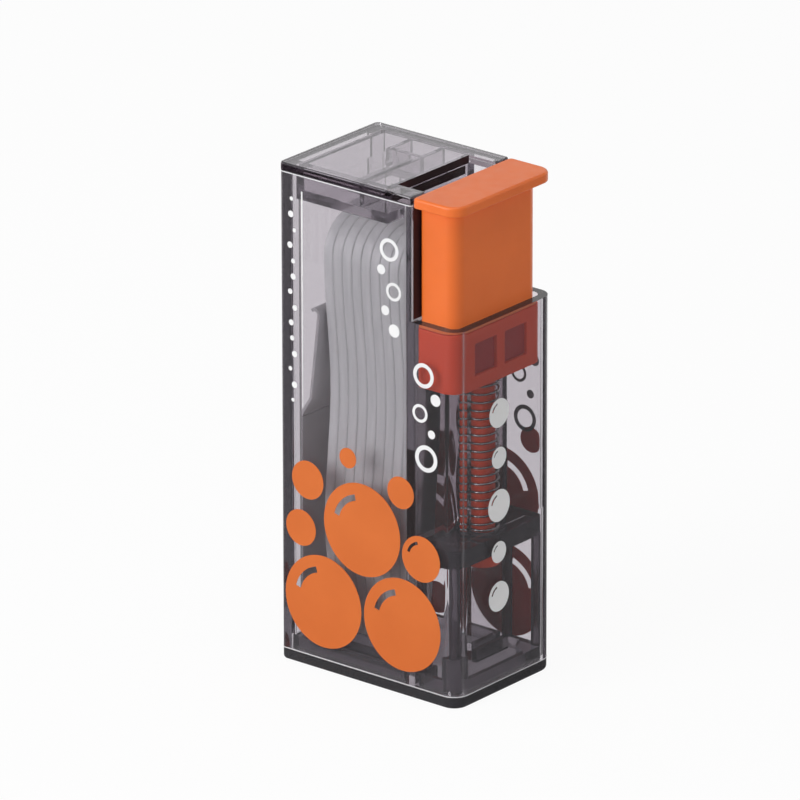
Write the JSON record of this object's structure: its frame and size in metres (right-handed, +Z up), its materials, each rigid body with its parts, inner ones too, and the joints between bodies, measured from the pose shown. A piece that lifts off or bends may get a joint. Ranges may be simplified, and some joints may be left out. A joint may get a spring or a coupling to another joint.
{
  "type": "dental floss dispenser",
  "caption": "Push-button dispenser for floss picks: see-through box with a row of picks, lift-off lid, spring-loaded button with a lifting pawl, and a sprung pusher leaf.",
  "frame": {"origin": "on the table, under the middle of the box", "axes": "+X across the wide face towards the button, +Y through the depth, +Z up"},
  "size_m": [0.0402, 0.0272, 0.094],
  "materials": {
    "smoky_shell": "clear smoky grey, polished",
    "dark_smoke": "dark smoky grey, polished",
    "orange_plastic": "satin moulded orange",
    "spring_steel": "bright drawn wire",
    "leaf_plastic": "smoky grey, satin",
    "pick_plastic": "translucent white, satin",
    "floss_thread": "waxed white thread"
  },
  "bodies": {
    "root": {"case_shell": "smoky_shell", "base_cover": "dark_smoke", "spring_bridge": "dark_smoke", "return_spring": "spring_steel", "leaf_clip": "leaf_plastic", "pick_02": "pick_plastic", "pick_03": "pick_plastic", "pick_04": "pick_plastic", "pick_05": "pick_plastic", "pick_06": "pick_plastic", "pick_07": "pick_plastic", "pick_08": "pick_plastic", "pick_09": "pick_plastic", "pick_10": "pick_plastic", "floss_02": "floss_thread", "floss_03": "floss_thread", "floss_04": "floss_thread", "floss_05": "floss_thread", "floss_06": "floss_thread", "floss_07": "floss_thread", "floss_08": "floss_thread", "floss_09": "floss_thread", "floss_10": "floss_thread"},
    "button": {"button_cap": "orange_plastic", "button_slider": "orange_plastic", "lift_pawl": "orange_plastic"},
    "lid": {"top_lid": "smoky_shell"},
    "leaf": {"pusher_leaf": "leaf_plastic"},
    "front_pick": {"pick_01": "pick_plastic", "floss_01": "floss_thread"}
  },
  "joints": [
    {"name": "button_slide", "type": "slide", "parent": "root", "child": "button", "axis": [0, 0, -1], "range_m": [0, 0.02], "stiffness_N_per_m": 97, "springref_m": -0.008, "deforming": ["return_spring"]},
    {"name": "lid_lift", "type": "slide", "parent": "root", "child": "lid", "axis": [0, 0, 1], "range_m": [0, 0.012]},
    {"name": "pick_draw", "type": "slide", "parent": "root", "child": "front_pick", "axis": [0, 0, 1], "range_m": [0, 0.095]},
    {"name": "leaf_swing", "type": "hinge", "parent": "root", "child": "leaf", "pos_m": [-0.018, 0, 0.0461], "axis": [0, 1, 0], "range_deg": [-5, 0], "stiffness_Nm_per_rad": 0.02}
  ]
}
